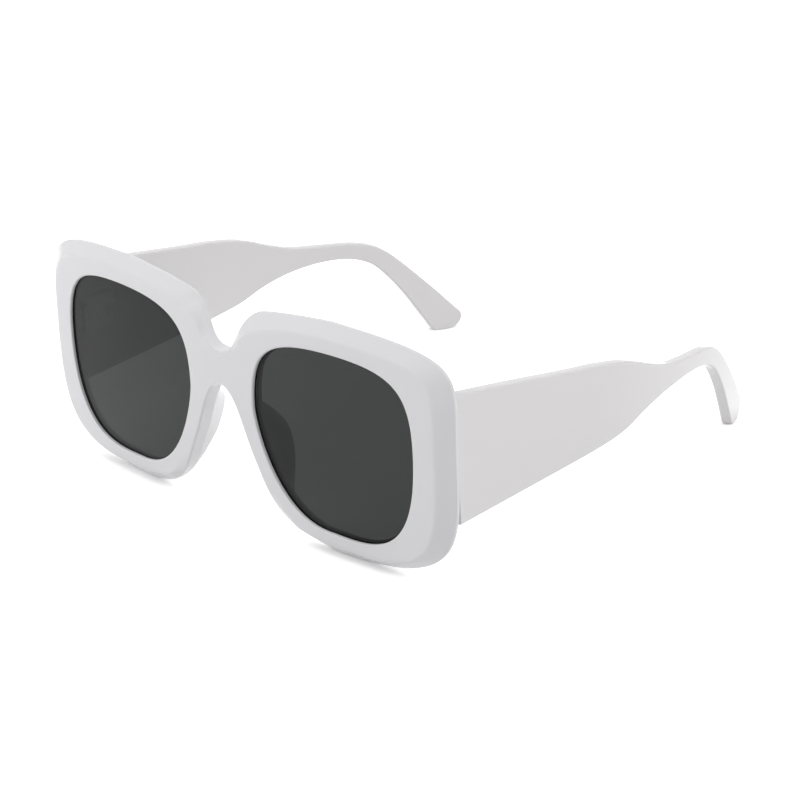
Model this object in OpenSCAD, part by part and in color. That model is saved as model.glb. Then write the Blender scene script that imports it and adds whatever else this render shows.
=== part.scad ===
// Oversized square sunglasses with wide plate temples, opened and standing on a table.
// +X is the wearer's left, +Y runs back to the temple tips and +Z is up. Lengths are millimetres.

/* [Front] */
// Width of the front across its widest line
front_w = 147.2; // [130:0.2:156]
// Height of the front from the rim bottoms to the brow line
front_h = 63.2; // [58:0.2:68]
// Thickness of the front plate
front_t = 4.1; // [3.8:0.1:5.5]
// How far the rolled bevel falls back at the outer edge
bevel_depth = 3; // [1.5:0.1:3.3]
// Width of the rolled bevel
bevel_w = 5.5; // [3:0.1:6.5]
// Radius of the front's wrap around the face
wrap_r = 533; // [380:1:900]
// Radius of the front's curve from brow to cheek
brow_r = 588; // [420:1:1200]
// How far the brow leans forward, in degrees
lean = 2.9; // [0:0.1:6]
// Rounding of the lip around each lens
lip_r = 0.5; // [0.3:0.05:0.7]
// Height of the notch above the bridge
bridge_top = 47.5; // [45:0.5:50]
// Height of the arch under the bridge
bridge_low = 38.3; // [36:0.1:40]

/* [Lenses] */
// Distance from the middle of the bridge to the lens opening
lens_x = 11.65; // [10.5:0.05:13]
// Width of the rim beside each lens
rim_side = 10.35; // [9:0.05:11]
// Height of the rim under each lens
lens_z = 6.6; // [5:0.1:8]
// Height of the rim above each lens
rim_top = 7.4; // [6:0.1:8.5]
// Thickness of a lens
lens_t = 1.9; // [1.6:0.1:2]
// How far the lens lies behind the front face
lens_recess = 0.87; // [0.7:0.01:1]
// Depth of the groove that holds the lens edge
groove_d = 0.8; // [0.5:0.1:1.2]
// Play between a lens and its groove
lens_play = 0.06; // [0.04:0.01:0.12]

/* [Nose pads] */
// How far the nose pads stand out behind the front
pad_h = 8; // [5:0.1:9]
// Roundness of a pad's ridge
pad_ridge_r = 2.2; // [1.5:0.1:2.6]
// Glue line between a pad and the front
glue_t = 0.05; // [0.03:0.01:0.1]

/* [Temples] */
// Length of a temple from its front end to the back of its tip
temple_len = 142; // [132:1:150]
// Thickness of a temple plate
temple_t = 3.2; // [2.8:0.1:4]
// Height of the temple's top edge where it meets the front
temple_top = 52; // [50:0.5:54]
// Height of the temple's bottom edge where it meets the front
temple_low = 17; // [15:0.5:20]
// How far the temple's outer face lies inside the front's edge
temple_inset = 1.8; // [0.8:0.1:2.2]
// Outward slope of the temples, in degrees
splay = 1.6; // [0:0.1:3]
// Distance from the butt end to where the temple starts to curve inwards
curve_start = 53; // [45:1:70]
// Radius of the inward curve
curve_r = 189; // [150:1:260]
// Rounding of the temple's edges
edge_r = 0.7; // [0.4:0.1:0.9]
// Gap between the front and a temple's butt end
butt_gap = 0.4; // [0.3:0.05:0.6]
// How much wider that gap gets towards the temple's bottom edge
butt_flare = 1.7; // [0:0.1:2]

/* [Core wires] */
// Diameter of the core wire in a temple
wire_d = 1.4; // [1:0.1:1.5]
// Play between the wire and its channel
wire_play = 0.06; // [0.04:0.01:0.1]
// How far the wire's front end lies inside the butt end
wire_inset = 0.8; // [0.5:0.1:2]

/* [Hinges] */
// Height of the middle of the hinges
hinge_z = 36; // [33:0.5:38]
// Diameter of the hinge barrel
barrel_d = 3.4; // [3:0.1:3.8]
// Height of one knuckle
knuckle_h = 1.7; // [1.5:0.1:1.9]
// Gap between two knuckles
knuckle_gap = 0.1; // [0.06:0.01:0.15]
// Diameter of the hinge screw
screw_d = 1.4; // [1.2:0.1:1.6]
// Radial play of the screw in the knuckles
screw_play = 0.05; // [0.03:0.01:0.08]
// Diameter of the hinge screw's head
head_d = 2.6; // [2.2:0.1:3]
// Height of the hinge screw's head
head_h = 0.7; // [0.5:0.1:0.9]
// Thickness of the hinge leaves
leaf_t = 1.1; // [0.9:0.1:1.3]
// Width of the front hinge's leaf
front_leaf_w = 4.8; // [4.4:0.1:5]
// Height of the front hinge's leaf
front_leaf_h = 18; // [16:0.5:20]
// Length of the temple hinge's leaf
temple_leaf_l = 11; // [9:0.5:14]
// Height of the temple hinge's leaf
temple_leaf_h = 10.5; // [9:0.5:13]
// Diameter of the fixing screws
fixing_d = 1; // [0.8:0.1:1.1]
// Diameter of the fixing screws' heads
fixing_head_d = 2.2; // [1.8:0.1:2.4]
// Height of the fixing screws' heads
fixing_head_h = 0.5; // [0.3:0.05:0.6]
// Length of a fixing screw under its head
fixing_len = 2.3; // [2:0.1:2.5]
// Gap between a leaf and the pocket it sits in
seat_gap = 0.05; // [0.03:0.01:0.1]

/* [Hidden] */
$fn = 48;

over = 0.3;
half_w = front_w / 2;
lens_w = half_w - lens_x - rim_side;
lens_h = front_h - lens_z - rim_top;
// Height where the front's curve from brow to cheek is foremost before it leans
pitch_share = 0.5217;
pitch_z = front_h * pitch_share;
white = [0.87, 0.86, 0.87];
smoke = [0.24, 0.25, 0.25];
steel = [0.72, 0.72, 0.74];

// Curves in the plane of the front, as [x, z]
function bezier(c, t) =
    c[0] * pow(1 - t, 3) + c[1] * 3 * pow(1 - t, 2) * t + c[2] * 3 * (1 - t) * t * t + c[3] * pow(t, 3);
function run(c, n, from = 0, to = 1) = [for (i = [0:n - 1]) bezier(c, from + (to - from) * i / n)];
function at_front(s) = [half_w * s[0], front_h * s[1]];
function at_lens(s) = [lens_x + lens_w * s[0], lens_z + lens_h * s[1]];
function lens_curve(shares) = [for (s = shares) at_lens(s)];

// Lens opening: nasal side to top, top to temporal side, on to the bottom and back
nasal_top_shares = [[0, 0.58], [0, 0.857], [0.068, 1], [0.523, 1]];
top_temporal_shares = [[0.523, 1], [0.89, 1], [1, 0.926], [1, 0.564]];
temporal_low_shares = [[1, 0.564], [1, -0.068], [0.654, 0], [0.46, 0]];
low_nasal_shares = [[0.46, 0], [0.101, 0], [0, 0.51], [0, 0.58]];

// Outer outline: from the bridge notch over the shoulder, brow, side, cheek and nose up to the arch
notch_share = [0.1083, 0];
shoulder_in_share = [0.0563, 0.9017];
shoulder_share = [0.163, 0.9517];
shoulder_out_share = [0.2038, 0.9709];
brow_share = [0.5027, 1];
brow_in_share = [0.4484, 1.001];
brow_out_share = [1.0217, 0.9905];
side_share = [1, 0.6479];
side_up_share = [1, 0.9288];
side_down_share = [1, 0.239];
cheek_share = [0.5068, 0];
cheek_out_share = [1.046, 0];
cheek_in_share = [0.2455, 0];
nose_share = [0.1573, 0.2981];
nose_down_share = [0.1947, 0.2137];
nose_up_share = [0.0948, 0.4392];
arch_share = [0.0704, 0];
notch_curve = [
    [0, bridge_top], [half_w * notch_share[0], bridge_top],
    at_front(shoulder_in_share), at_front(shoulder_share)
];
brow_curve = [
    at_front(shoulder_share), at_front(shoulder_out_share),
    at_front(brow_in_share), at_front(brow_share)
];
side_curve = [at_front(brow_share), at_front(brow_out_share), at_front(side_up_share), at_front(side_share)];
cheek_curve = [
    at_front(side_share), at_front(side_down_share),
    at_front(cheek_out_share), at_front(cheek_share)
];
nose_curve = [at_front(cheek_share), at_front(cheek_in_share), at_front(nose_down_share), at_front(nose_share)];
arch_curve = [
    at_front(nose_share), at_front(nose_up_share),
    [half_w * arch_share[0], bridge_low], [0, bridge_low]
];

// Stations around one rim, paired on the opening and on the outer outline
notch_n = 7;
brow_n = 6;
side_n = 13;
nose_n = 8;
arch_n = 9;
bridge_n = 3;
bridge_share = 0.35;
lower_bridge_share = 0.93;
nose_share_t = 0.42;
shoulder_share_t = 0.58;
opening_line = concat(
    run(lens_curve(nasal_top_shares), notch_n, bridge_share, shoulder_share_t),
    run(lens_curve(nasal_top_shares), brow_n, shoulder_share_t, 1),
    run(lens_curve(top_temporal_shares), side_n),
    run(lens_curve(temporal_low_shares), side_n),
    run(lens_curve(low_nasal_shares), nose_n, 0, nose_share_t),
    run(lens_curve(low_nasal_shares), arch_n, nose_share_t, lower_bridge_share),
    run(lens_curve(low_nasal_shares), 1, lower_bridge_share, 1),
    run(lens_curve(nasal_top_shares), bridge_n - 1, 0, bridge_share));
outer_line = concat(
    run(notch_curve, notch_n),
    run(brow_curve, brow_n),
    run(side_curve, side_n),
    run(cheek_curve, side_n),
    run(nose_curve, nose_n),
    run(arch_curve, arch_n),
    [for (i = [0:bridge_n - 1]) [0, bridge_low + (bridge_top - bridge_low) * i / bridge_n]]);
station_n = len(opening_line);
bridge_first = station_n - bridge_n;
side_first = notch_n + brow_n;
nose_first = side_first + 2 * side_n;

// Depth of the front face at [x, z], and of the back behind it
function face_y(p) =
    p[0] * p[0] / (2 * wrap_r) + pow(p[1] - pitch_z, 2) / (2 * brow_r) - (p[1] - pitch_z) * tan(lean);
function back_y(p) = face_y(p) + front_t;
function on_face(p, depth) = [p[0], face_y(p) + depth, p[1]];

// Bevel from its softened inner line to the outer edge, as [share of its width, share of its depth]
bevel_shares = [[0, 0], [0.07, 0.0125], [0.15, 0.0575], [0.22, 0.1236], [1, 1]];
// Most of the rim's width that the bevel takes
bevel_most_share = 0.53;
// The bevel is full at the side and fades to nothing at the nose
bevel_least_share = 0.3;
bevel_in_share = 0.05;
bevel_out_share = 0.14;
cheek_in_bevel_share = 0.17;
cheek_out_bevel_share = 0.42;
function ramp(v, a, b) = let (u = min(1, max(0, (v - a) / (b - a)))) u * u * (3 - 2 * u);
function bevel_at(i) =
    let (x = outer_line[i][0] / half_w)
    i < side_first ? ramp(x, bevel_in_share, bevel_out_share)
    : i < nose_first ? 1
    : ramp(x, cheek_in_bevel_share, cheek_out_bevel_share);

// Cross-section of the rim at station i, from the lens lip out over the face and back inside
function rim_section(i) =
    let (a = opening_line[i], b = outer_line[i], l = norm(b - a), e = (b - a) / l, k = bevel_at(i))
    let (w = min(bevel_w, l * bevel_most_share) * max(k, bevel_least_share), d = bevel_depth * k)
    let (g0 = lens_recess - lens_play, g1 = lens_recess + lens_t + lens_play)
    [
        for (p = [
            [0, lip_r], [lip_r * (1 - cos(45)), lip_r * (1 - sin(45))], [lip_r, 0],
            each [for (s = bevel_shares) [l - w + w * s[0], d * s[1]]],
            [l, front_t], [0, front_t], [0, g1], [groove_d, g1], [groove_d, g0], [0, g0]
        ]) on_face(a + e * p[0], p[1])
    ];
edge_k = 2 + len(bevel_shares);
section_n = len(rim_section(0));

// Two rims in one skin: the halves share their points on the middle plane
function turned(p) = [-p[0], p[1], p[2]];
front_points = concat(
    [for (i = [0:station_n - 1]) each rim_section(i)],
    [for (i = [0:station_n - 1]) each [for (p = rim_section(i)) turned(p)]]);
function on_middle(i, k) = (i == 0 || i >= bridge_first) && (k == edge_k || k == edge_k + 1);
function rim_index(side, i, k) =
    let (ii = i % station_n, kk = k % section_n)
    (side == 1 && on_middle(ii, kk) ? 0 : side * station_n * section_n) + ii * section_n + kk;
function rim_faces(side) = [
    for (i = [0:station_n - 1], k = [0:section_n - 1])
        if (!(k == edge_k && i >= bridge_first))
            let (
                a = rim_index(side, i, k), b = rim_index(side, i + 1, k),
                c = rim_index(side, i + 1, k + 1), d = rim_index(side, i, k + 1)
            )
            each side == 0 ? [[a, c, b], [a, d, c]] : [[a, b, c], [a, c, d]]
];

module front_plate() {
    polyhedron(front_points, concat(rim_faces(0), rim_faces(1)), convexity = 8);
}

// Skin through loops of equal length, closed by a cap at each end
module skin(loops) {
    n = len(loops[0]);
    m = len(loops);
    polyhedron(
        [for (l = loops) each l],
        concat(
            [[for (k = [0:n - 1]) k]],
            [
                for (i = [0:m - 2], k = [0:n - 1])
                    let (a = i * n + k, b = i * n + (k + 1) % n)
                    each [[a, a + n, b], [b, a + n, b + n]]
            ],
            [[for (k = [n - 1:-1:0]) (m - 1) * n + k]]),
        convexity = 8);
}

// Hinge places, all worked out from the front and the temple root
temple_x = half_w - temple_inset;
inner_x = temple_x - temple_t;
leaf_sunk_share = 0.7;
leaf_sunk = leaf_t * leaf_sunk_share;
barrel_r = barrel_d / 2;
hinge_x = inner_x - barrel_r - leaf_sunk;
hinge_back_y = back_y([hinge_x, hinge_z]);
hinge_y = hinge_back_y + barrel_r + leaf_t;
barrel_h = 5 * knuckle_h + 4 * knuckle_gap;
barrel_z = hinge_z - barrel_h / 2;
seat_y = hinge_back_y - leaf_sunk;
seat_x = inner_x + leaf_sunk;
bore_d = screw_d + 2 * screw_play;
fixing_hole_d = fixing_d + 2 * seat_gap;
fixing_sink = fixing_head_h + seat_gap;
// Distance of a fixing screw from the end of its leaf, in head diameters
fixing_edge_share = 0.75;
front_fixing_z = front_leaf_h / 2 - fixing_head_d * fixing_edge_share;
temple_leaf_y = hinge_y + barrel_r + knuckle_gap;
temple_fixing_y = temple_leaf_y + fixing_head_d;
temple_fixing_pitch = temple_leaf_l - fixing_head_d * (1 + fixing_edge_share);
// Width of a screw's slot as a share of its head
slot_share = 0.16;
// Width of a front knuckle's arm as a share of the barrel
arm_share = 0.8;

// Temple: its top and bottom edges, as [share of the length, share of the top edge's height]
butt_top_y = back_y([temple_x, temple_top]) + butt_gap;
butt_low_y = back_y([temple_x, temple_low]) + butt_gap;
butt_y = (butt_top_y + butt_low_y) / 2;
top_edge_shares = [
    [0.145, 0.948], [0.285, 0.894], [0.377, 0.862], [0.462, 0.817], [0.532, 0.748], [0.602, 0.688],
    [0.68, 0.658], [0.757, 0.631], [0.81, 0.585], [0.856, 0.494], [0.929, 0.304], [0.987, 0.14],
    [1.004, 0.085], [1, 0.033], [0.98, 0]
];
low_edge_shares = [
    [0.145, 0.358], [0.285, 0.392], [0.384, 0.419], [0.455, 0.45], [0.518, 0.506], [0.588, 0.546],
    [0.666, 0.562], [0.732, 0.55], [0.778, 0.512], [0.813, 0.45], [0.863, 0.3], [0.908, 0.127],
    [0.926, 0.057], [0.937, 0.015], [0.946, 0]
];
function at_temple(s) = [butt_y + temple_len * s[0], temple_top * s[1]];
top_edge = concat([[butt_top_y, temple_top]], [for (s = top_edge_shares) at_temple(s)]);
low_edge = concat([[butt_low_y + butt_flare, temple_low]], [for (s = low_edge_shares) at_temple(s)]);

// Smooth curve through a list of points, n steps between neighbours
function smooth_at(p, i, t) =
    let (
        a = p[max(i - 1, 0)], b = p[i], c = p[min(i + 1, len(p) - 1)], d = p[min(i + 2, len(p) - 1)],
        ta = (c - a) / 2, tb = (d - b) / 2
    )
    b * (2 * t * t * t - 3 * t * t + 1) + ta * (t * t * t - 2 * t * t + t)
        + c * (3 * t * t - 2 * t * t * t) + tb * (t * t * t - t * t);
function smooth(p, n) = concat(
    [for (i = [0:len(p) - 2], j = [0:n - 1]) smooth_at(p, i, j / n)], [p[len(p) - 1]]);
edge_steps = 3;
top_line = smooth(top_edge, edge_steps);
low_line = smooth(low_edge, edge_steps);
temple_n = len(top_line);

// Outer face of the temple in plan: straight, then curving inwards
curve_y = butt_y + curve_start;
function plan_x(y) = temple_x + (y - butt_y) * tan(splay) - pow(max(0, y - curve_y), 2) / (2 * curve_r);
function plan_slope(y) = tan(splay) - max(0, y - curve_y) / curve_r;
function in_plate(p, depth) =
    let (m = plan_slope(p[0]), n = sqrt(1 + m * m))
    [plan_x(p[0]) - depth / n, p[0] + depth * m / n, p[1]];

function temple_section(i) =
    let (
        a = low_line[i], b = top_line[i], h = norm(b - a), e = (b - a) / h, r = edge_r,
        q = edge_r * (1 - cos(45)), t = temple_t
    )
    [
        for (p = [
            [r, 0], [h - r, 0], [h - q, q], [h, r], [h, t - r], [h - q, t - q],
            [h - r, t], [r, t], [q, t - q], [0, t - r], [0, r], [q, q]
        ]) in_plate(a + e * p[0], p[1])
    ];

// Core wire and its channel run low in the plate and stop short of the tip
wire_share = 0.38;
wire_k = 12;
wire_turn = -120;
tip_points = 4;
wire_last = temple_n - tip_points * edge_steps;
function wire_centre(i) = low_line[i] + (top_line[i] - low_line[i]) * wire_share;
function wire_section(i, r, shift = 0) =
    let (
        c = wire_centre(i), d = wire_centre(i + 1) - c, f = d / norm(d), e = [-f[1], f[0]],
        p = c + f * shift
    )
    [
        for (k = [0:wire_k - 1])
            let (v = wire_turn + 360 / wire_k * k)
            in_plate(p + e * r * cos(v), temple_t / 2 + r * sin(v))
    ];
channel_r = wire_d / 2 + wire_play;

module temple_plate() {
    skin(concat(
        [for (i = [temple_n - 1:-1:0]) temple_section(i)],
        [for (i = [0:wire_last]) wire_section(i, channel_r)]));
}

module wire_run() {
    skin(concat(
        [for (i = [wire_last - 1:-1:1]) wire_section(i, wire_d / 2)],
        [wire_section(0, wire_d / 2, wire_inset)]));
}

// The whole object's middle, from its foremost and rearmost points
front_most_y = min([for (p = front_points) p[1]]);
rear_most_y = max([for (i = [0:temple_n - 1], p = temple_section(i)) p[1]]);
middle_y = (front_most_y + rear_most_y) / 2;

module placed() {
    translate([0, -middle_y, 0]) children();
}

module other_side() {
    mirror([1, 0, 0]) children();
}

module front_frame() {
    color(white) placed() difference() {
        front_plate();
        front_hinge_seat();
        other_side() front_hinge_seat();
    }
}

module front_hinge_seat() {
    w = front_leaf_w + 2 * seat_gap;
    h = front_leaf_h + 2 * seat_gap;
    translate([hinge_x - w / 2, seat_y - seat_gap, hinge_z - h / 2]) cube([w, front_t, h]);
    for (s = [-1, 1]) translate([hinge_x, seat_y + over, hinge_z + s * front_fixing_z])
        rotate([90, 0, 0])
            cylinder(d = fixing_hole_d, h = fixing_len - leaf_t + fixing_sink + over + seat_gap);
}

// One lens: rings inside one another on the curved face, at the front and at the back
lens_rings_share = [1, 0.8, 0.5, 0.2];
lens_middle = at_lens([0.5, 0.5]);
function lens_edge(i) =
    let (a = opening_line[i], b = outer_line[i]) a + (b - a) / norm(b - a) * (groove_d - lens_play);
function lens_ring(s, depth) =
    [for (i = [0:station_n - 1]) on_face(lens_middle + (lens_edge(i) - lens_middle) * s, depth)];

module lens_blank() {
    skin(concat(
        [for (i = [len(lens_rings_share) - 1:-1:0]) lens_ring(lens_rings_share[i], lens_recess)],
        [for (s = lens_rings_share) lens_ring(s, lens_recess + lens_t)]));
}

module left_lens() {
    color(smoke) placed() lens_blank();
}

module right_lens() {
    color(smoke) placed() other_side() lens_blank();
}

// Nose pad: a wing with a rounded ridge, from the cheek end of the nose side up to the arch
pad_first = nose_first + 3;
pad_height_shares = [0.02, 0.144, 0.288, 0.444, 0.614, 0.764, 0.865, 0.95, 1, 0.989, 0.915, 0.733, 0.521, 0.27];
pad_ridge_shares = [0.09, 0.17, 0.26, 0.34, 0.4, 0.5, 0.6, 0.7, 0.76, 0.8, 0.82, 0.8, 0.77, 0.73];
// Most that the ridge's radius takes of the pad's height and width
pad_r_height_share = 0.7;
pad_r_width_share = 0.3;
pad_arc = [160, 135, 110, 85, 60, 35, 10];
pad_steps = 2;
pad_line = smooth(
    [
        for (j = [0:len(pad_height_shares) - 1])
            let (i = pad_first + j)
            concat(outer_line[i], opening_line[i], pad_height_shares[j], pad_ridge_shares[j])
    ],
    pad_steps);
function pad_section(p) =
    let (a = [p[0], p[1]], b = [p[2], p[3]], l = norm(b - a), e = (b - a) / l)
    let (h = pad_h * p[4], r = min(pad_ridge_r, h * pad_r_height_share, l * pad_r_width_share))
    let (c = l * p[5], foot = front_t + glue_t)
    concat(
        [on_face(a, foot)],
        [for (v = pad_arc) on_face(a + e * (c + r * cos(v)), foot + h - r + r * sin(v))],
        [on_face(a + e * (l - lip_r), foot), on_face(a + e * l / 2, foot)]);

module nose_pad() {
    skin([for (j = [len(pad_line) - 1:-1:0]) pad_section(pad_line[j])]);
}

module left_nose_pad() {
    color(white) placed() nose_pad();
}

module right_nose_pad() {
    color(white) placed() other_side() nose_pad();
}

// Knuckles with the given numbers, counted from the bottom
module knuckles(numbers) {
    for (i = numbers) translate([hinge_x, hinge_y, barrel_z + i * (knuckle_h + knuckle_gap)])
        cylinder(d = barrel_d, h = knuckle_h);
}

module barrel_bore() {
    translate([hinge_x, hinge_y, barrel_z - over]) cylinder(d = bore_d, h = barrel_h + 2 * over);
}

module front_hinge() {
    arm_w = barrel_d * arm_share;
    difference() {
        union() {
            translate([hinge_x - front_leaf_w / 2, seat_y, hinge_z - front_leaf_h / 2])
                cube([front_leaf_w, leaf_t, front_leaf_h]);
            knuckles([0, 2, 4]);
            for (i = [0, 2, 4])
                translate([hinge_x - arm_w / 2, seat_y + leaf_t / 2, barrel_z + i * (knuckle_h + knuckle_gap)])
                    cube([arm_w, hinge_y - seat_y - leaf_t / 2, knuckle_h]);
        }
        barrel_bore();
        for (s = [-1, 1]) translate([hinge_x, seat_y, hinge_z + s * front_fixing_z]) rotate([-90, 0, 0])
            fixing_hole();
    }
}

// Hole and head recess for a fixing screw, from the seat out through the leaf
module fixing_hole() {
    translate([0, 0, -over]) cylinder(d = fixing_hole_d, h = leaf_t + 2 * over);
    translate([0, 0, leaf_t - fixing_sink]) cylinder(d = fixing_head_d + 2 * seat_gap, h = fixing_sink + over);
}

// Fixing screw with a slotted head, whose top lies flush with the leaf
module fixing_screw() {
    slot_w = fixing_head_d * slot_share;
    translate([0, 0, leaf_t - fixing_head_h]) difference() {
        union() {
            translate([0, 0, -fixing_len + fixing_head_h]) cylinder(d = fixing_d, h = fixing_len);
            cylinder(d = fixing_head_d, h = fixing_head_h);
        }
        translate([-fixing_head_d, -slot_w / 2, fixing_head_h / 2])
            cube([2 * fixing_head_d, slot_w, fixing_head_h]);
    }
}

module left_front_hinge() {
    color(steel) placed() front_hinge();
}

module right_front_hinge() {
    color(steel) placed() other_side() front_hinge();
}

module front_hinge_screws() {
    for (s = [-1, 1]) translate([hinge_x, seat_y, hinge_z + s * front_fixing_z]) rotate([-90, 0, 0])
        fixing_screw();
}

module left_front_hinge_screws() {
    color(steel) placed() front_hinge_screws();
}

module right_front_hinge_screws() {
    color(steel) placed() other_side() front_hinge_screws();
}

module temple_hinge() {
    difference() {
        union() {
            translate([seat_x - leaf_t, temple_leaf_y, hinge_z - temple_leaf_h / 2])
                cube([leaf_t, temple_leaf_l, temple_leaf_h]);
            knuckles([1, 3]);
            for (i = [1, 3]) translate([hinge_x, hinge_y, barrel_z + i * (knuckle_h + knuckle_gap)])
                cube([seat_x - leaf_t / 2 - hinge_x, temple_leaf_y - hinge_y + leaf_t, knuckle_h]);
        }
        barrel_bore();
        for (s = [0, 1]) translate([seat_x, temple_fixing_y + s * temple_fixing_pitch, hinge_z])
            rotate([0, -90, 0]) fixing_hole();
    }
}

module temple_hinge_seat() {
    l = temple_leaf_y + temple_leaf_l + seat_gap;
    h = temple_leaf_h + 2 * seat_gap;
    translate([seat_x - temple_t, -over, hinge_z - h / 2]) cube([temple_t + seat_gap, l + over, h]);
    for (s = [0, 1]) translate([seat_x - over, temple_fixing_y + s * temple_fixing_pitch, hinge_z])
        rotate([0, 90, 0])
            cylinder(d = fixing_hole_d, h = fixing_len - leaf_t + fixing_head_h + over + seat_gap);
}

module left_temple_hinge() {
    color(steel) placed() temple_hinge();
}

module right_temple_hinge() {
    color(steel) placed() other_side() temple_hinge();
}

module temple_hinge_screws() {
    for (s = [0, 1]) translate([seat_x, temple_fixing_y + s * temple_fixing_pitch, hinge_z])
        rotate([0, -90, 0]) fixing_screw();
}

module left_temple_hinge_screws() {
    color(steel) placed() temple_hinge_screws();
}

module right_temple_hinge_screws() {
    color(steel) placed() other_side() temple_hinge_screws();
}

module hinge_screw() {
    slot_w = head_d * slot_share;
    translate([hinge_x, hinge_y, barrel_z]) difference() {
        union() {
            cylinder(d = screw_d, h = barrel_h);
            translate([0, 0, barrel_h]) cylinder(d = head_d, h = head_h);
        }
        translate([-head_d, -slot_w / 2, barrel_h + head_h / 2]) cube([2 * head_d, slot_w, head_h]);
    }
}

module left_hinge_screw() {
    color(steel) placed() hinge_screw();
}

module right_hinge_screw() {
    color(steel) placed() other_side() hinge_screw();
}

module temple() {
    difference() {
        temple_plate();
        temple_hinge_seat();
    }
}

module left_temple() {
    color(white) placed() temple();
}

module right_temple() {
    color(white) placed() other_side() temple();
}

module left_core_wire() {
    color(steel) placed() wire_run();
}

module right_core_wire() {
    color(steel) placed() other_side() wire_run();
}

front_frame();
left_lens();
right_lens();
left_nose_pad();
right_nose_pad();
left_front_hinge();
right_front_hinge();
left_front_hinge_screws();
right_front_hinge_screws();
left_temple_hinge();
right_temple_hinge();
left_temple_hinge_screws();
right_temple_hinge_screws();
left_hinge_screw();
right_hinge_screw();
left_temple();
right_temple();
left_core_wire();
right_core_wire();
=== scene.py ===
import math

import bmesh
import bpy
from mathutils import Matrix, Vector


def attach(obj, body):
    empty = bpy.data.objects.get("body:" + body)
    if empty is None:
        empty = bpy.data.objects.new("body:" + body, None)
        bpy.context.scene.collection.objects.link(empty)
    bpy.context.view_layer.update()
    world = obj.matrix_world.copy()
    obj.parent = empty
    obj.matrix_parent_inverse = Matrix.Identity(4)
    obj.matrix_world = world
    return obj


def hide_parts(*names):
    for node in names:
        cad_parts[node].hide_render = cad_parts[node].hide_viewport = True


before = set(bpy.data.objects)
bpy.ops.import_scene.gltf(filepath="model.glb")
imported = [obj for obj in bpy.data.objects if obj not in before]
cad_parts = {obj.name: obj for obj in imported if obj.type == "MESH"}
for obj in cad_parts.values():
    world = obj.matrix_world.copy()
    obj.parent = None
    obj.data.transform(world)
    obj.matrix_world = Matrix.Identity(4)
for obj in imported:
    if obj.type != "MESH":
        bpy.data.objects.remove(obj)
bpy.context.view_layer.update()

# Lengths that the pieces drawn here share with the part, in millimetres
MM = 0.001
FRONT_W = 147.2
HALF_W = FRONT_W / 2
FRONT_H = 63.2
FRONT_T = 4.1
BEVEL_DEPTH = 3.0
BEVEL_W = 5.5
WRAP_R = 533.0
BROW_R = 588.0
LEAN = math.tan(math.radians(2.9))
PITCH_Z = FRONT_H * 0.5217
BRIDGE_TOP = 47.5
BRIDGE_LOW = 38.3
LIP_R = 0.5
LENS_X = 11.65
LENS_Z = 6.6
RIM_SIDE = 10.35
RIM_TOP = 7.4
LENS_W = HALF_W - LENS_X - RIM_SIDE
LENS_H = FRONT_H - LENS_Z - RIM_TOP
LENS_T = 1.9
LENS_RECESS = 0.87
GROOVE = 0.8
PLAY = 0.06
PAD_H = 8.0
PAD_R = 2.2
TEMPLE_LEN = 142.0
TEMPLE_T = 3.2
TEMPLE_TOP = 52.0
TEMPLE_LOW = 17.0
TEMPLE_INSET = 1.8
TEMPLE_X = HALF_W - TEMPLE_INSET
TEMPLE_EDGE = 0.7
SPLAY = math.tan(math.radians(1.6))
CURVE_START = 53.0
CURVE_R = 189.0
BUTT_GAP = 0.4
BUTT_FLARE = 1.7

# How far the middle of the open glasses lies behind the middle of the front's face
MIDDLE_Y = 75.6554

# Stations of the part along each stretch of a rim, and how many times finer they are here
FINE = 4
NOTCH_STEPS = 7
BROW_STEPS = 6
SIDE_STEPS = 13
CHEEK_STEPS = 13
NOSE_STEPS = 8
ARCH_STEPS = 9
BRIDGE_STEPS = 3
BRIDGE_ROWS = BRIDGE_STEPS * FINE

# Shares of the opening's nasal curves at which the stretches that face them end
BRIDGE_END = 0.35
NOTCH_END = 0.58
NOSE_END = 0.42
ARCH_END = 0.93


def in_metres(x, y, z):
    """Place in the row's frame, from millimetres counted back from the middle of the front's face."""
    return Vector((x * MM, (y - MIDDLE_Y) * MM, z * MM))


def face_y(x, z):
    """How far back the front's face lies: wrapped round the head, curved up the brow, and leaning."""
    return x * x / (2 * WRAP_R) + (z - PITCH_Z) ** 2 / (2 * BROW_R) - (z - PITCH_Z) * LEAN


def on_face(p, depth):
    """Place at a depth behind the front's face, where p gives its [x, z]."""
    return in_metres(p[0], face_y(p[0], p[1]) + depth, p[1])


def bezier(c, t):
    """Point at share t of the cubic curve with the four points c."""
    u = 1 - t
    return [
        c[0][k] * u ** 3 + 3 * c[1][k] * u * u * t + 3 * c[2][k] * u * t * t + c[3][k] * t ** 3
        for k in (0, 1)]


def run(c, steps, start=0.0, end=1.0):
    """Points along a stretch of a Bezier curve, without its last one."""
    steps *= FINE
    return [bezier(c, start + (end - start) * i / steps) for i in range(steps)]


def at_front(x, z):
    """Point from shares of the front's half width and height."""
    return [HALF_W * x, FRONT_H * z]


def at_lens(x, z):
    """Point from shares of the lens opening's width and height."""
    return [LENS_X + LENS_W * x, LENS_Z + LENS_H * z]


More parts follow.
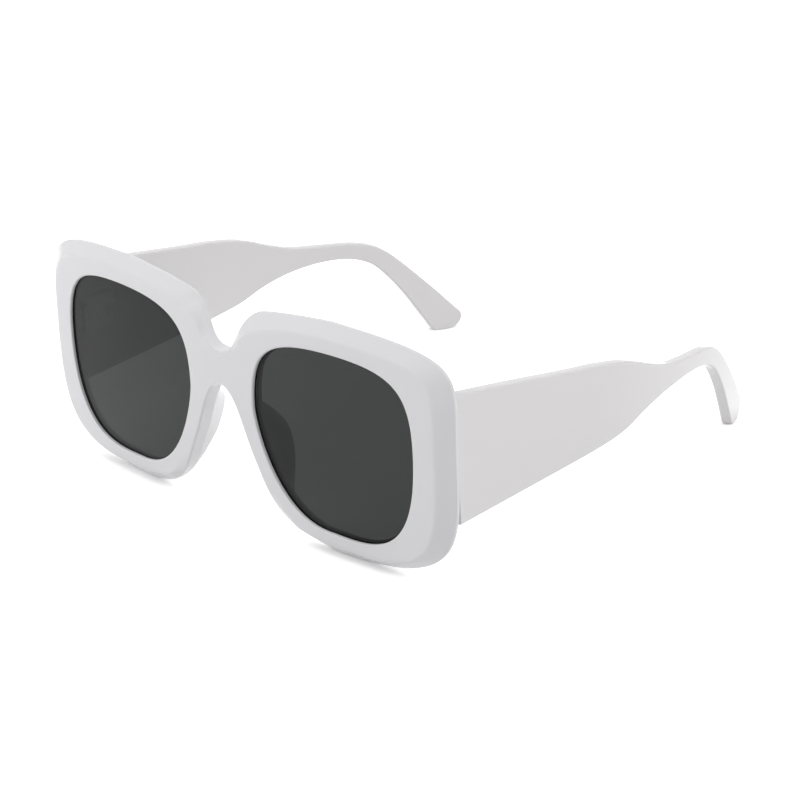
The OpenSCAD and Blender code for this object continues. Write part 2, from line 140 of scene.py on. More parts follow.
def opening_line():
    """Outline of the lens opening, station by station opposite the rim's outer outline."""
    nasal_top = [at_lens(0, 0.58), at_lens(0, 0.857), at_lens(0.068, 1), at_lens(0.523, 1)]
    top_side = [at_lens(0.523, 1), at_lens(0.89, 1), at_lens(1, 0.926), at_lens(1, 0.564)]
    side_low = [at_lens(1, 0.564), at_lens(1, -0.068), at_lens(0.654, 0), at_lens(0.46, 0)]
    low_nasal = [at_lens(0.46, 0), at_lens(0.101, 0), at_lens(0, 0.51), at_lens(0, 0.58)]
    line = run(nasal_top, NOTCH_STEPS, BRIDGE_END, NOTCH_END) + run(nasal_top, BROW_STEPS, NOTCH_END, 1)
    line += run(top_side, SIDE_STEPS) + run(side_low, CHEEK_STEPS)
    line += run(low_nasal, NOSE_STEPS, 0, NOSE_END) + run(low_nasal, ARCH_STEPS, NOSE_END, ARCH_END)
    line += run(low_nasal, 1, ARCH_END, 1) + run(nasal_top, BRIDGE_STEPS - 1, 0, BRIDGE_END)
    return line


def outer_line():
    """Outer outline of the rim, from the notch round the cheek to the arch and up the middle."""
    notch = [
        [0, BRIDGE_TOP], [HALF_W * 0.1083, BRIDGE_TOP],
        at_front(0.0563, 0.9017), at_front(0.163, 0.9517)]
    brow = [
        at_front(0.163, 0.9517), at_front(0.2038, 0.9709),
        at_front(0.4484, 1.001), at_front(0.5027, 1)]
    side = [
        at_front(0.5027, 1), at_front(1.0217, 0.9905),
        at_front(1, 0.9288), at_front(1, 0.6479)]
    cheek = [
        at_front(1, 0.6479), at_front(1, 0.239),
        at_front(1.046, 0), at_front(0.5068, 0)]
    nose = [
        at_front(0.5068, 0), at_front(0.2455, 0),
        at_front(0.1947, 0.2137), at_front(0.1573, 0.2981)]
    arch = [
        at_front(0.1573, 0.2981), at_front(0.0948, 0.4392),
        [HALF_W * 0.0704, BRIDGE_LOW], [0, BRIDGE_LOW]]
    line = run(notch, NOTCH_STEPS) + run(brow, BROW_STEPS) + run(side, SIDE_STEPS)
    line += run(cheek, CHEEK_STEPS) + run(nose, NOSE_STEPS) + run(arch, ARCH_STEPS)
    return line + [
        [0, BRIDGE_LOW + (BRIDGE_TOP - BRIDGE_LOW) * i / BRIDGE_ROWS] for i in range(BRIDGE_ROWS)]


OPENING = opening_line()
OUTER = outer_line()
STATIONS = len(OPENING)
BRIDGE_FIRST = STATIONS - BRIDGE_ROWS
BROW_LAST = (NOTCH_STEPS + BROW_STEPS) * FINE
NOSE_FIRST = BROW_LAST + (SIDE_STEPS + CHEEK_STEPS) * FINE


def ramp(v, a, b):
    """0 before a, 1 after b, and a smooth rise between them."""
    u = min(1.0, max(0.0, (v - a) / (b - a)))
    return u * u * (3 - 2 * u)


def catmull(values, t):
    """Smooth value between the entries of a list, at place t counted in entries."""
    last = len(values) - 1
    i = min(int(t), last - 1)
    u = t - i
    a, b, c, d = values[max(i - 1, 0)], values[i], values[i + 1], values[min(i + 2, last)]
    ta, tb = (c - a) / 2, (d - b) / 2
    return (
        b * (2 * u ** 3 - 3 * u * u + 1) + ta * (u ** 3 - 2 * u * u + u)
        + c * (3 * u * u - 2 * u ** 3) + tb * (u ** 3 - u * u))


# Shares of the half width over which the bevel grows from none to all of its size
BEVEL_AT_BROW = (0.05, 0.14)
BEVEL_AT_NOSE = (0.17, 0.42)


def bevel_fullness(i):
    """Share of the full bevel at a station: none beside the bridge, all of it round the side."""
    x = OUTER[i][0] / HALF_W
    if i < BROW_LAST:
        return ramp(x, *BEVEL_AT_BROW)
    if i < NOSE_FIRST:
        return 1.0
    return ramp(x, *BEVEL_AT_NOSE)


# Nose pad, station by station of the part: share of its height, and how far across the rim its ridge lies
PAD_HEIGHTS = [0, 0.144, 0.288, 0.444, 0.614, 0.764, 0.865, 0.95, 1, 0.989, 0.915, 0.733, 0.521, 0.28, 0]
PAD_RIDGES = [0.09, 0.17, 0.26, 0.34, 0.4, 0.5, 0.6, 0.7, 0.76, 0.8, 0.82, 0.8, 0.77, 0.73, 0.7]

# How many of the part's stations the nose stretch has before the pad
PAD_START = 3
PAD_FIRST = NOSE_FIRST + PAD_START * FINE

# Most of the pad's height and of the rim's width that the ridge's radius takes
PAD_R_OF_HEIGHT = 0.7
PAD_R_OF_WIDTH = 0.3

# Points of a section through the pad: up to the ridge, round it in degrees, and down again
PAD_RISE = [0, 0.35, 0.6, 0.82]
PAD_TURNS = [150, 130, 110, 90, 70, 50, 30, 10]
PAD_FALL = [0.35, 0.7, 1]

# Bare back between the foot of the pad and the opening
PAD_MARGIN = 0.6

# Height over which the flat back of a rim passes into the pad
PAD_BLEND = 1.2

# Points across the flat back of a rim, as many as a section through the pad has
BACK_SHARES = [0, 0.1, 0.18, 0.26, 0.34, 0.4, 0.45, 0.5, 0.55, 0.6, 0.65, 0.7, 0.76, 0.83, 0.9, 1]


def pad_height(i):
    """How far the pad stands out behind the front at a station."""
    t = (i - PAD_FIRST) / FINE
    if t <= 0 or t >= len(PAD_HEIGHTS) - 1:
        return 0.0
    return PAD_H * max(0.0, catmull(PAD_HEIGHTS, t))


def pad_share(i):
    """0 where the rim's back is flat, 1 where the pad has taken its place."""
    return ramp(pad_height(i), 0, PAD_BLEND)


def back_path(i, width):
    """Back of the rim from its outer edge to the opening, raised into the nose pad where there is one."""
    flat = [(width * (1 - q), FRONT_T) for q in BACK_SHARES]
    h = pad_height(i)
    if h <= 0:
        return flat
    ridge = width * catmull(PAD_RIDGES, (i - PAD_FIRST) / FINE)
    r = min(PAD_R, h * PAD_R_OF_HEIGHT, width * PAD_R_OF_WIDTH)
    arc = [
        (ridge + r * math.cos(math.radians(a)), FRONT_T + h - r + r * math.sin(math.radians(a)))
        for a in PAD_TURNS]
    first, last = arc[0], arc[-1]
    end = width - PAD_MARGIN
    rise = [(first[0] * u, FRONT_T + (first[1] - FRONT_T) * u) for u in PAD_RISE]
    fall = [(last[0] + (end - last[0]) * u, last[1] + (FRONT_T - last[1]) * u) for u in PAD_FALL]
    pad = [(width - s, y) for s, y in rise + arc + fall + [(width, FRONT_T)]]
    m = pad_share(i)
    return [(f[0] + (p[0] - f[0]) * m, p[1]) for f, p in zip(flat, pad)]


# The bevel in shares of its width and depth: it rolls over as a parabola and then falls nearly straight
ROLL = 1.96
BEVEL_SHARES = [[s, ROLL * s * s] for s in (0, 0.05, 0.1, 0.15, 0.2, 0.25)] + [[0.6, 0.5425]]

# Most of the rim that the bevel takes, and least share of its full width
BEVEL_MOST = 0.53
BEVEL_LEAST = 0.3

# Points on the face between the lip and the bevel
FACE_SHARES = [0.25, 0.5, 0.75]

# Roundings of the front's edges, which grow from the least one at the middle of the bridge
CRISP_R = 0.16
NOSE_R = 0.6
BACK_R = 0.5
INNER_R = 0.3
LEAST_R = 0.04
OFF_MIDDLE = (0.5, 7)
CORNER_STEPS = [0, 0.25, 0.5, 0.75, 1]

# Shares of the half width over which the crisp edge turns into the nose's rounder one, counted inward
NOSE_SPAN = (-0.42, -0.25)

# A bevel is at least this many times as wide as the rounding at its end
CORNER_ROOM = 3.4

# A rounding takes at most this share of the line beside it
LINE_MOST = 0.8

# Narrow strip beside a rounding, which keeps the flat next to it evenly shaded
BESIDE = 0.12

# Bow of the sections at the middle of the bridge, and how far from the middle it has faded out
BOW = 2.0
BOW_X = 8.0

# The bow follows u * u * (1 - u), which is 4 / 27 high by itself
BOW_SCALE = 27 / 4

# How squarely a section meets the outline at the least
SQUARE_LEAST = 0.3


def inward(i):
    """Direction from the outline into the rim, at right angles to the outline."""
    if i == 0:
        return [0, -1]
    if i >= BRIDGE_FIRST:
        return [0, 1] if i < BRIDGE_FIRST + BRIDGE_ROWS / 2 else [0, -1]
    a, b = OUTER[i - 1], OUTER[i + 1]
    n = math.dist(a, b)
    return [(b[1] - a[1]) / n, (a[0] - b[0]) / n]


def bow(i):
    """How far up a section bows on its way over the face, so that it meets the outline from inside."""
    if i >= BRIDGE_FIRST + BRIDGE_ROWS / 2:
        return -BOW * (1 - ramp(STATIONS - i, 0, BRIDGE_ROWS / 2))
    if i >= BRIDGE_FIRST:
        return BOW * (1 - ramp(i - BRIDGE_FIRST, 0, BRIDGE_ROWS / 2))
    if i < BROW_LAST:
        return -BOW * max(0, 1 - OUTER[i][0] / BOW_X)
    return BOW * max(0, 1 - OUTER[i][0] / BOW_X) if i >= NOSE_FIRST else 0.0


def corner(start, middle, end):
    """Rounded corner as a short curve through [x, z, depth] points."""
    return [
        [start[k] * (1 - u) ** 2 + 2 * middle[k] * u * (1 - u) + end[k] * u * u for k in (0, 1, 2)]
        for u in CORNER_STEPS]


def toward(p, q, length):
    """Point that lies a length from p on the way to q, or as far along as a rounding may reach."""
    gap = math.dist(p, q)
    share = min(LINE_MOST, length / gap) if gap > 0 else 0
    return [p[k] + (q[k] - p[k]) * share for k in (0, 1, 2)]


def edge_roundings(i):
    """Radii of the outer edge to the face and to the back, and the strip beside each."""
    if i > BRIDGE_FIRST:
        return 0.0, 0.0, 0.0
    x = OUTER[i][0]
    nose = ramp(-x / HALF_W, *NOSE_SPAN) if i >= NOSE_FIRST else 0.0
    off_middle = ramp(x, *OFF_MIDDLE)
    face_r = LEAST_R + (CRISP_R + (NOSE_R - CRISP_R) * nose - LEAST_R) * off_middle
    back_r = LEAST_R + (BACK_R - LEAST_R) * off_middle
    return face_r, back_r, BESIDE * off_middle


def rim_section(i):
    """Section of the rim from the lip over the face and the back to the groove.

    Gives its points, where the outer edge starts and ends among them, and where the groove starts.
    """
    a, b = OPENING[i], OUTER[i]
    width = math.dist(a, b)
    e = [(b[0] - a[0]) / width, (b[1] - a[1]) / width]
    n = inward(i)
    face_r, back_r, beside = edge_roundings(i)
    fullness = bevel_fullness(i)
    bevel_d = BEVEL_DEPTH * fullness
    steep = BOW_SCALE * bow(i) / width
    square = max(SQUARE_LEAST, steep * n[1] - (e[0] * n[0] + e[1] * n[1]))
    bevel_w = min(BEVEL_W, width * BEVEL_MOST) * max(fullness, BEVEL_LEAST)
    bevel_w = max(bevel_w, CORNER_ROOM * (face_r + beside) / square)
    share, low = BEVEL_SHARES[-1]
    slope = bevel_d * (1 - low) / ((1 - share) * bevel_w * square)

    def at(s, y):
        return [a[0] + e[0] * s, a[1] + e[1] * s, y]

    def over_face(s, y):
        u = s / width
        return [a[0] + e[0] * s, a[1] + e[1] * s + steep * width * u * u * (1 - u), y]

    def inside(q, y):
        return [b[0] + n[0] * q, b[1] + n[1] * q, y]

    # Lip, face and bevel
    path = [at(0, LIP_R + BESIDE)] + corner(at(0, LIP_R), at(0, 0), at(LIP_R, 0)) + [at(LIP_R + BESIDE, 0)]
    path += [over_face(LIP_R + (width - bevel_w - LIP_R) * s, 0) for s in FACE_SHARES]
    path += [over_face(width - bevel_w + bevel_w * s, bevel_d * v) for s, v in BEVEL_SHARES]
    path.append(inside(face_r + beside, bevel_d - (face_r + beside) * slope))

    # Outer edge, from its rounding at the face to its rounding at the back or the pad
    edge_start = len(path)
    turning = inside(face_r, bevel_d - face_r * slope)
    path += corner(turning, inside(0, bevel_d), inside(0, bevel_d + face_r))
    path.append(inside(0, bevel_d + face_r + beside))
    back = [at(s, y) for s, y in back_path(i, width)]
    level = inside(back_r, FRONT_T)
    rising = toward(back[0], back[1], back_r)
    leaving = [level[c] + (rising[c] - level[c]) * pad_share(i) for c in (0, 1, 2)]
    path.append(inside(0, FRONT_T - back_r - beside))
    path += corner(inside(0, FRONT_T - back_r), back[0], leaving)
    edge_end = len(path) - 1

    # Back, inner edge and groove
    path += back[1:-1]
    path += corner(toward(back[-1], back[-2], INNER_R), back[-1], at(0, FRONT_T - INNER_R))
    groove = len(path)
    near, far = LENS_RECESS - PLAY, LENS_RECESS + LENS_T + PLAY
    path += [at(0, far), at(GROOVE, far), at(GROOVE, near), at(0, near)]
    return [on_face(p, p[2]) for p in path], edge_start, edge_end, groove


def new_piece(name, bm, materials, body):
    """Object from a mesh being edited, riding on a body and with a slot's finish."""
    mesh = bpy.data.meshes.new(name)
    bm.to_mesh(mesh)
    bm.free()
    for m in materials:
        mesh.materials.append(m)
    obj = bpy.data.objects.new(name, mesh)
    bpy.context.scene.collection.objects.link(obj)
    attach(obj, body)
    return obj


# Points of the front's two halves that lie nearer than this become one
SEAM = 0.002


def make_front(white):
    """Both rims, the bridge and the nose pads, as one half and its mirror image.

    The half stays open along the middle of the bridge, where its outer edge has no faces.
    """
    bm = bmesh.new()
    sections = [rim_section(i) for i in range(STATIONS)]
    edge_start, edge_end, groove = sections[0][1:]
    rows = [[bm.verts.new(p) for p in s[0]] for s in sections]
    n = len(rows[0])
    for i in range(STATIONS):
        j = (i + 1) % STATIONS
        for k in range(n):
            if i >= BRIDGE_FIRST and edge_start <= k < edge_end:
                continue
            m = (k + 1) % n
            bm.faces.new((rows[i][k], rows[i][m], rows[j][m], rows[j][k])).smooth = True
        for k in range(groove, n):
            bm.edges.get((rows[i][k], rows[j][k])).smooth = False
    bmesh.ops.delete(bm, geom=[v for v in bm.verts if not v.link_faces], context="VERTS")
    bmesh.ops.recalc_face_normals(bm, faces=bm.faces)
    obj = new_piece("front", bm, [white], "front")
    half = obj.modifiers.new("other half", "MIRROR")
    half.merge_threshold = SEAM * MM
    half.use_mirror_merge = True
    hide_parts("front_frame", "left_nose_pad", "right_nose_pad")


# Rings of a lens pane, as shares of the way from its middle to its edge
PANE_SHARES = [0.06, 0.2, 0.35, 0.5, 0.65, 0.8, 0.9, 0.965, 1]


def lens_edge(i, reach):
    """Point of the lens edge, which reaches past the opening into the groove."""
    a, b = OPENING[i], OUTER[i]
    width = math.dist(a, b)
    return [a[k] + (b[k] - a[k]) / width * reach for k in (0, 1)]


def make_lens(name, side, tint, edge_shade_finish):
    """Tinted pane whose side and outer back ring take a near-black finish, which is painted shade of the
    groove round the lens, on the wearer's left where side is 1.
    """
    bm = bmesh.new()
    middle = at_lens(0.5, 0.5)
    edge = [lens_edge(i, GROOVE - PLAY) for i in range(STATIONS)]

    def ring(share, depth):
        loop = []
        for p in edge:
            v = on_face([middle[k] + (p[k] - middle[k]) * share for k in (0, 1)], depth)
            v.x *= side
            loop.append(bm.verts.new(v))
        return loop

    loops = [ring(s, LENS_RECESS) for s in PANE_SHARES]
    loops += [ring(s, LENS_RECESS + LENS_T) for s in reversed(PANE_SHARES)]
    front_edge = len(PANE_SHARES) - 1
    back_edge = len(PANE_SHARES)
    for place, (a, b) in enumerate(zip(loops, loops[1:])):
        for i in range(STATIONS):
            j = (i + 1) % STATIONS
            face = bm.faces.new((a[i], a[j], b[j], b[i]))
            face.smooth = True
            # The pane's side and the outer ring of its back take the second finish, whose near-black is
            # painted shade of the groove seen through the lens
            face.material_index = 1 if place in (front_edge, back_edge) else 0
    for loop in (loops[0], loops[-1]):
        bm.faces.new(loop).smooth = True
    for loop in (loops[front_edge], loops[back_edge]):
        for i in range(STATIONS):
            bm.edges.get((loop[i], loop[(i + 1) % STATIONS])).smooth = False
    bmesh.ops.recalc_face_normals(bm, faces=bm.faces)
    obj = new_piece(name + "_pane", bm, [tint, edge_shade_finish], "front")
    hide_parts(name)


# A temple's edges behind the hinge, as shares of its length and of its height at the front
TOP_EDGE = [
    [0.145, 0.948], [0.285, 0.894], [0.377, 0.862], [0.462, 0.817], [0.532, 0.748], [0.602, 0.688],
    [0.68, 0.658], [0.757, 0.631], [0.81, 0.585], [0.856, 0.494], [0.929, 0.304], [0.987, 0.14],
    [1.004, 0.085], [1, 0.033], [0.98, 0]]
LOW_EDGE = [
    [0.145, 0.358], [0.285, 0.392], [0.384, 0.419], [0.455, 0.45], [0.518, 0.506], [0.588, 0.546],
    [0.666, 0.562], [0.732, 0.55], [0.778, 0.512], [0.813, 0.45], [0.863, 0.3], [0.908, 0.127],
    [0.926, 0.057], [0.937, 0.015], [0.946, 0]]

# Stations of the part between two of these points, and steps round each long edge of the plate
EDGE_STEPS = 3
EDGE_TURNS = 5

# Rounding of the butt end's edge
BUTT_EDGE = 0.15


def temple_lines():
    """Top and bottom edge of a temple as [depth, height], butt end first, and the butt end's depth."""
    top_y = face_y(TEMPLE_X, TEMPLE_TOP) + FRONT_T + BUTT_GAP
    low_y = face_y(TEMPLE_X, TEMPLE_LOW) + FRONT_T + BUTT_GAP
    butt = (top_y + low_y) / 2
    top = [[top_y, TEMPLE_TOP]]
    top += [[butt + TEMPLE_LEN * s, TEMPLE_TOP * z] for s, z in TOP_EDGE]
    low = [[low_y + BUTT_FLARE, TEMPLE_LOW]]
    low += [[butt + TEMPLE_LEN * s, TEMPLE_TOP * z] for s, z in LOW_EDGE]
    steps = EDGE_STEPS * FINE
    count = (len(top) - 1) * steps

    def along(line):
        places = [[catmull([p[k] for p in line], i / steps) for k in (0, 1)] for i in range(count)]
        return places + [line[-1]]

    return along(top), along(low), butt


def round_butt(obj):
    """Rounds the edges that carry a weight, and shades the flats beside them as flat."""
    bevel = obj.modifiers.new("rounded butt end", "BEVEL")
    bevel.limit_method = "WEIGHT"
    bevel.offset_type = "OFFSET"
    bevel.width = BUTT_EDGE * MM
    bevel.segments = 3
    flats = obj.modifiers.new("flat beside round", "WEIGHTED_NORMAL")
    flats.keep_sharp = True


def make_temple(name, side, white):
    """Plate of one temple with rounded edges, on the wearer's left where side is 1."""
    bm = bmesh.new()
    top, low, butt = temple_lines()
    curve = butt + CURVE_START

    def in_plate(p, depth):
        bend = max(0.0, p[0] - curve)
        slope = SPLAY - bend / CURVE_R
        n = math.sqrt(1 + slope * slope)
        x = TEMPLE_X + (p[0] - butt) * SPLAY - bend * bend / (2 * CURVE_R) - depth / n
        return in_metres(side * x, p[0] + depth * slope / n, p[1])

    rows = []
    r = TEMPLE_EDGE
    for a, b in zip(low, top):
        h = math.dist(a, b)
        e = [(b[k] - a[k]) / h for k in (0, 1)]
        corners = [(r, r, 180), (h - r, r, 270), (h - r, TEMPLE_T - r, 0), (r, TEMPLE_T - r, 90)]
        loop = []
        for cs, cd, first in corners:
            for turn in range(EDGE_TURNS + 1):
                v = math.radians(first + 90 * turn / EDGE_TURNS)
                s, d = cs + r * math.cos(v), cd + r * math.sin(v)
                loop.append(bm.verts.new(in_plate([a[0] + e[0] * s, a[1] + e[1] * s], d)))
        rows.append(loop)
    n = len(rows[0])
    for a, b in zip(rows, rows[1:]):
        for k in range(n):
            m = (k + 1) % n
            bm.faces.new((a[k], a[m], b[m], b[k])).smooth = True
    for loop in (rows[0], rows[-1]):
        bm.faces.new(loop).smooth = True
    weight = bm.edges.layers.float.new("bevel_weight_edge")
    for k in range(n):
        bm.edges.get((rows[0][k], rows[0][(k + 1) % n]))[weight] = 1.0
    bmesh.ops.recalc_face_normals(bm, faces=bm.faces)
    obj = new_piece(name + "_plate", bm, [white], name)
    round_butt(obj)
    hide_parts(name)


def new_group(name, inputs, outputs):
    """Empty node group with named sockets, and its input and output nodes."""
    group = bpy.data.node_groups.new(name, "ShaderNodeTree")
    for socket, kind in inputs:
        group.interface.new_socket(socket, in_out="INPUT", socket_type=kind)
    for socket, kind in outputs:
        group.interface.new_socket(socket, in_out="OUTPUT", socket_type=kind)
    return group, group.nodes.new("NodeGroupInput"), group.nodes.new("NodeGroupOutput")


def faint_tone_group():
    """A faint, cloudy change from a light tone to a deep one."""
    group, given, out = new_group(
        "faint tone",
        [("Light", "NodeSocketColor"), ("Deep", "NodeSocketColor"), ("Scale", "NodeSocketFloat")],
        [("Color", "NodeSocketColor")])
    nodes, links = group.nodes, group.links
    place = nodes.new("ShaderNodeTexCoord")
    cloud = nodes.new("ShaderNodeTexNoise")
    cloud.inputs["Detail"].default_value = 3
    mix = nodes.new("ShaderNodeMix")
    mix.data_type = "RGBA"
    links.new(place.outputs["Object"], cloud.inputs["Vector"])
    links.new(given.outputs["Scale"], cloud.inputs["Scale"])
    links.new(cloud.outputs["Fac"], mix.inputs[0])
    links.new(given.outputs["Light"], mix.inputs[6])
    links.new(given.outputs["Deep"], mix.inputs[7])
    links.new(mix.outputs[2], out.inputs["Color"])
    return group


def polish_group():
    """Roughness and height of a polished surface: slow haze with fine hairlines over it."""
    group, given, out = new_group(
        "polish",
        [(name, "NodeSocketFloat") for name in ("Smooth", "Worn", "Haze Scale", "Grain Scale")],
        [(name, "NodeSocketFloat") for name in ("Roughness", "Height")])
    nodes, links = group.nodes, group.links
    place = nodes.new("ShaderNodeTexCoord")
    haze = nodes.new("ShaderNodeTexNoise")
    haze.inputs["Detail"].default_value = 2
    grain = nodes.new("ShaderNodeTexNoise")
    grain.inputs["Detail"].default_value = 4
    spread = nodes.new("ShaderNodeMapRange")
    for noise, scale in ((haze, "Haze Scale"), (grain, "Grain Scale")):
        links.new(place.outputs["Object"], noise.inputs["Vector"])
        links.new(given.outputs[scale], noise.inputs["Scale"])
    links.new(haze.outputs["Fac"], spread.inputs["Value"])
    spread.inputs["From Min"].default_value = 0.3
    spread.inputs["From Max"].default_value = 0.7
    links.new(given.outputs["Smooth"], spread.inputs["To Min"])
    links.new(given.outputs["Worn"], spread.inputs["To Max"])
    links.new(spread.outputs["Result"], out.inputs["Roughness"])
    links.new(grain.outputs["Fac"], out.inputs["Height"])
    return group


FAINT_TONE = faint_tone_group()
POLISH = polish_group()


def colour(r, g, b):
    """Linear colour from the sRGB values that it shows, 0 to 255."""
    def linear(v):
        v /= 255
        return v / 12.92 if v <= 0.04045 else ((v + 0.055) / 1.055) ** 2.4
    return (linear(r), linear(g), linear(b), 1.0)


def place_group(nodes, group, **values):
    """Shared group in a material, with its own values for the named inputs."""
    node = nodes.new("ShaderNodeGroup")
    node.node_tree = group
    for name, value in values.items():
        node.inputs[name.replace("_", " ")].default_value = value
    return node


def finish(name, light, deep, tone_scale, smooth, worn, haze, grain, bump, bump_distance=0.00001):
    """Material with a shader whose colour, roughness and bump come from the shared groups."""
    mat = bpy.data.materials.new(name)
    mat.use_nodes = True
    nodes, links = mat.node_tree.nodes, mat.node_tree.links
    shader = nodes["Principled BSDF"]
    tone = place_group(nodes, FAINT_TONE, Light=light, Deep=deep, Scale=tone_scale)
    links.new(tone.outputs["Color"], shader.inputs["Base Color"])
    polish = place_group(nodes, POLISH, Smooth=smooth, Worn=worn, Haze_Scale=haze, Grain_Scale=grain)
    links.new(polish.outputs["Roughness"], shader.inputs["Roughness"])
    relief = nodes.new("ShaderNodeBump")
    relief.inputs["Strength"].default_value = bump
    relief.inputs["Distance"].default_value = bump_distance
    links.new(polish.outputs["Height"], relief.inputs["Height"])
    links.new(relief.outputs["Normal"], shader.inputs["Normal"])
    return mat, shader


def gloss_white(name, light, deep, tone_scale):
    """Polished white acetate."""
    mat, shader = finish(
        name, light, deep, tone_scale,
        smooth=0.05, worn=0.09, haze=60, grain=900, bump=0.02, bump_distance=0.00002)
    shader.inputs["IOR"].default_value = 1.49
    return mat


def smoke_tint():
    """Smoke-grey lens, see-through and all but free of haze."""
    mat, shader = finish(
        "smoke lens", colour(47, 49, 48), colour(46, 48, 47), 25,
        smooth=0.0, worn=0.01, haze=40, grain=400, bump=0.0)
    shader.inputs["Transmission Weight"].default_value = 1.0
    shader.inputs["IOR"].default_value = 1.22
    return mat


def painted_groove_shade():
    """Matt edge of a lens, made near-black as painted shade of the groove that the lens sits in."""
    mat, shader = finish(
        "lens edge with painted groove shade", colour(24, 25, 25), colour(18, 19, 19), 60,
        smooth=0.45, worn=0.6, haze=300, grain=3000, bump=0.1)
    shader.inputs["Specular IOR Level"].default_value = 0.2
    return mat


def plated_steel(name, light, deep, smooth, worn):
    """Satin metal of the hinges, screws and wires."""
    mat, shader = finish(name, light, deep, 400, smooth, worn, haze=700, grain=6000, bump=0.05)
    shader.inputs["Metallic"].default_value = 1.0
    return mat


def dress_nodes(names, mat):
    """Gives the part's own solids their finish."""
    for name in names:
        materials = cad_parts[name].data.materials
        materials.clear()
        materials.append(mat)


# The photograph's camera, from the fit to both rims and both temples: focal length and sensor width in
# millimetres, place in metres, and direction from the glasses back to the camera
SENSOR_W = 36
PHOTO_LENS = 113.41
PHOTO_PLACE = (0.44136, -0.48103, 0.27508)
PHOTO_BACK = (0.6330, -0.6776, 0.3744)


def set_camera():
    """Sees the glasses from where the photograph was taken."""
    data = bpy.data.cameras.new("photo view")
    data.sensor_width = SENSOR_W
    data.lens = PHOTO_LENS
    data.clip_start = 0.01
    cam = bpy.data.objects.new("photo view", data)
    cam.location = PHOTO_PLACE
    cam.rotation_euler = Vector(PHOTO_BACK).to_track_quat("Z", "Y").to_euler()
    bpy.context.scene.collection.objects.link(cam)
    bpy.context.scene.camera = cam


def math_node(nodes, links, operation, first, second):
    """Output of a math node, whose second value is a number or another output."""
    node = nodes.new("ShaderNodeMath")
    node.operation = operation
    links.new(first, node.inputs[0])
    if isinstance(second, float):
        node.inputs[1].default_value = second
    else:
        links.new(second, node.inputs[1])
    return node.outputs[0]


def seen_directly(nodes, links):
    """1 for rays that show the background: straight from the camera, off gloss and through glass."""
    path = nodes.new("ShaderNodeLightPath")
    seen = path.outputs["Is Camera Ray"]
    for ray in ("Is Glossy Ray", "Is Transmission Ray"):
        seen = math_node(nodes, links, "MAXIMUM", seen, path.outputs[ray])
    return seen


# Reach of the table from its middle, in metres
TABLE_REACH = 1.6

# Light that the table adds where it is seen directly, so that it shows white
TABLE_LIFT = 0.8

# Painted contact shadow: how far the glasses darken the table's glow round them, in millimetres, between
# which shares of open sky they do, and the share of the table's lift that is left where they touch it
CONTACT_REACH = 8.0
CONTACT_OPEN = (0.3, 0.95)
CONTACT_LEVEL = 0.3

# Strength of the sky's own light
SKY_LEVEL = 0.19


def table_finish():
    """White table with a painted contact shadow: its glow dims close to where the glasses touch it."""
    mat = bpy.data.materials.new("white table")
    mat.use_nodes = True
    nodes, links = mat.node_tree.nodes, mat.node_tree.links
    shader = nodes["Principled BSDF"]
    shader.inputs["Base Color"].default_value = (0.8, 0.8, 0.8, 1)
    shader.inputs["Roughness"].default_value = 0.9
    shader.inputs["Specular IOR Level"].default_value = 0.0
    shader.inputs["Emission Color"].default_value = (1, 1, 1, 1)
    # Painted contact shadow: occlusion near the glasses dims the glow that the table adds
    contact_shade_occlusion = nodes.new("ShaderNodeAmbientOcclusion")
    contact_shade_occlusion.inputs["Distance"].default_value = CONTACT_REACH * MM
    contact = nodes.new("ShaderNodeMapRange")
    contact.inputs["From Min"].default_value = CONTACT_OPEN[0]
    contact.inputs["From Max"].default_value = CONTACT_OPEN[1]
    contact.inputs["To Min"].default_value = CONTACT_LEVEL
    links.new(contact_shade_occlusion.outputs["AO"], contact.inputs["Value"])
    lift = math_node(nodes, links, "MULTIPLY", seen_directly(nodes, links), TABLE_LIFT)
    glow = math_node(nodes, links, "MULTIPLY", lift, contact.outputs["Result"])
    links.new(glow, shader.inputs["Emission Strength"])
    return mat


def lay_table():
    """Wide white table under the glasses."""
    bm = bmesh.new()
    bmesh.ops.create_grid(bm, x_segments=8, y_segments=8, size=TABLE_REACH)
    mesh = bpy.data.meshes.new("table top")
    bm.to_mesh(mesh)
    bm.free()
    mesh.materials.append(table_finish())
    table = bpy.data.objects.new("table_top", mesh)
    bpy.context.scene.collection.objects.link(table)


def set_world():
    """White surroundings where they are seen directly, and a dim, even sky for the light."""
    world = bpy.data.worlds.new("studio")
    bpy.context.scene.world = world
    world.use_nodes = True
    nodes, links = world.node_tree.nodes, world.node_tree.links
    sky = nodes["Background"]
    sky.inputs["Color"].default_value = (1, 1, 1, 1)
    level = nodes.new("ShaderNodeMapRange")
    level.inputs["To Min"].default_value = SKY_LEVEL
    level.inputs["To Max"].default_value = 1.0
    links.new(seen_directly(nodes, links), level.inputs["Value"])
    links.new(level.outputs["Result"], sky.inputs["Strength"])


# The middle of the open glasses, in metres
LAMP_AIM = Vector((0, 0, 0.03))


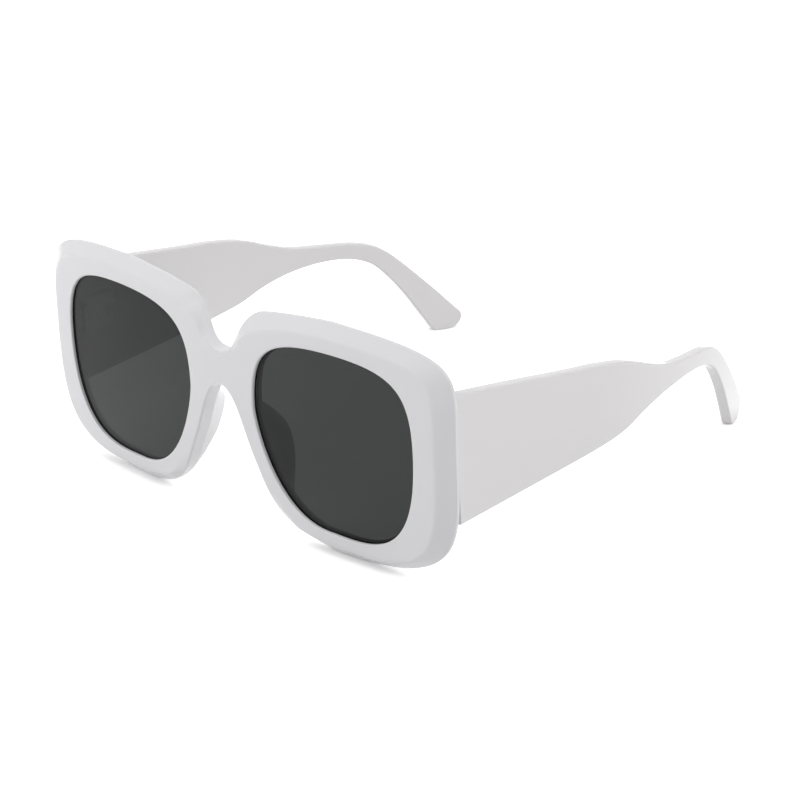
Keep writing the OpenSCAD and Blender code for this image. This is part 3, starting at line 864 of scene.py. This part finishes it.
def soft_box(name, place, size, watts):
    """Square lamp that faces the glasses and leaves no bright patch on their gloss; metres and watts."""
    data = bpy.data.lights.new(name, "AREA")
    data.size = size
    data.energy = watts
    lamp = bpy.data.objects.new(name, data)
    lamp.location = place
    lamp.visible_glossy = False
    lamp.rotation_euler = (Vector(place) - LAMP_AIM).to_track_quat("Z", "Y").to_euler()
    bpy.context.scene.collection.objects.link(lamp)


set_camera()
set_world()
lay_table()

# Lamps round the glasses, with left and right as the wearer's
soft_box("top box", (0, 0, 1.25), 1.3, 2.0)
soft_box("high front box", (-0.3, -1.0, 1.1), 1.1, 5.6)
soft_box("front right box", (-1.2, -1.0, 0.65), 1.1, 9.3)
soft_box("high left box", (1.0, 0.0, 1.1), 1.1, 6.8)
soft_box("back left box", (1.1, 1.2, 0.7), 1.1, 7.6)
soft_box("back right box", (-1.1, 1.1, 0.7), 1.1, 6.2)

front_white = gloss_white("gloss white front", colour(234, 233, 235), colour(230, 229, 232), 30)
temple_white = gloss_white("gloss white temples", colour(234, 232, 233), colour(231, 229, 230), 20)
smoke = smoke_tint()
# Near-black finish of the lens edges: painted shade of the groove round each lens
groove_shade_finish = painted_groove_shade()
hinge_steel = plated_steel("nickel hinges", colour(194, 194, 197), colour(184, 184, 188), 0.25, 0.34)
screw_steel = plated_steel("steel screws", colour(206, 205, 204), colour(182, 181, 180), 0.18, 0.3)
wire_steel = plated_steel("core wire", colour(188, 187, 185), colour(168, 167, 166), 0.3, 0.45)

make_front(front_white)
for name, side in (("left_lens", 1), ("right_lens", -1)):
    make_lens(name, side, smoke, groove_shade_finish)
for name, side in (("left_temple", 1), ("right_temple", -1)):
    make_temple(name, side, temple_white)
for hand in ("left", "right"):
    dress_nodes([hand + "_front_hinge", hand + "_temple_hinge"], hinge_steel)
    dress_nodes([hand + "_front_hinge_screws", hand + "_temple_hinge_screws"], screw_steel)
    dress_nodes([hand + "_hinge_screw"], screw_steel)
    dress_nodes([hand + "_core_wire"], wire_steel)

scene = bpy.context.scene
scene.view_settings.view_transform = "Standard"
